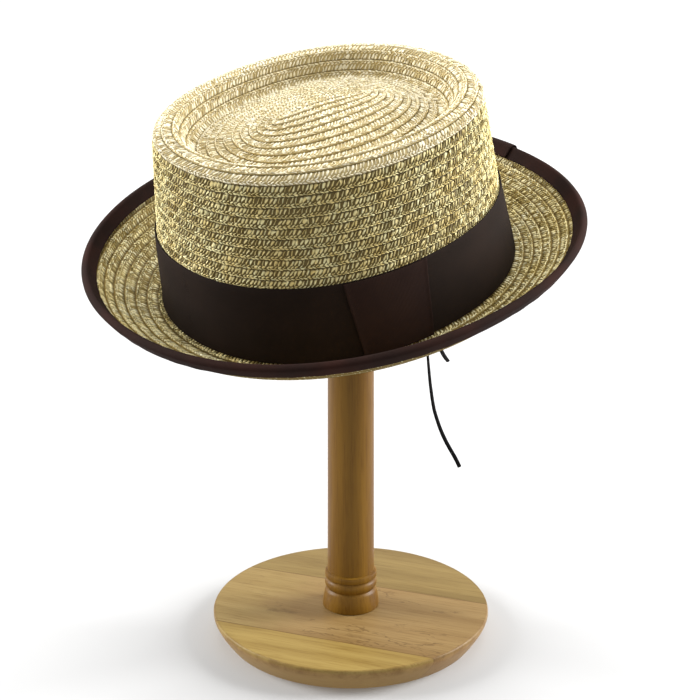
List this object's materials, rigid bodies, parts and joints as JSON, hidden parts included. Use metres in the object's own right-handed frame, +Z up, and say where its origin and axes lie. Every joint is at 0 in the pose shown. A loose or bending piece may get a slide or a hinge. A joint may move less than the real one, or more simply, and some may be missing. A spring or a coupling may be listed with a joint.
{
  "type": "porkpie hat on a stand",
  "caption": "Porkpie hat of sewn straw braid with a ribbon band and a curled, bound brim, resting tilted on a turned wooden stand with a round base.",
  "frame": {"origin": "centre of the stand's underside, where it rests on a table", "axes": "+Z up along the stand's pole, -Y towards the hat's front, +X towards the wearer's left"},
  "size_m": [0.2675, 0.2795, 0.3492],
  "materials": {
    "straw_braid": "sewn paper-straw braid, matt with fine glossy threads",
    "ribbon": "fine ribbed dark brown ribbon",
    "sweatband_cloth": "plain dark woven band",
    "cord": "soft black drawstring",
    "stand_wood": "satin varnished light brown wood, glued boards, slightly worn"
  },
  "bodies": {
    "root": {"straw_body": "straw_braid", "hatband": "ribbon", "band_tab": "ribbon", "brim_binding": "ribbon", "binding_lap": "ribbon", "sweatband": "sweatband_cloth", "cord_long": "cord", "cord_short": "cord", "stand_disc": "stand_wood", "stand_pole": "stand_wood", "stand_head": "stand_wood"}
  },
  "joints": []
}
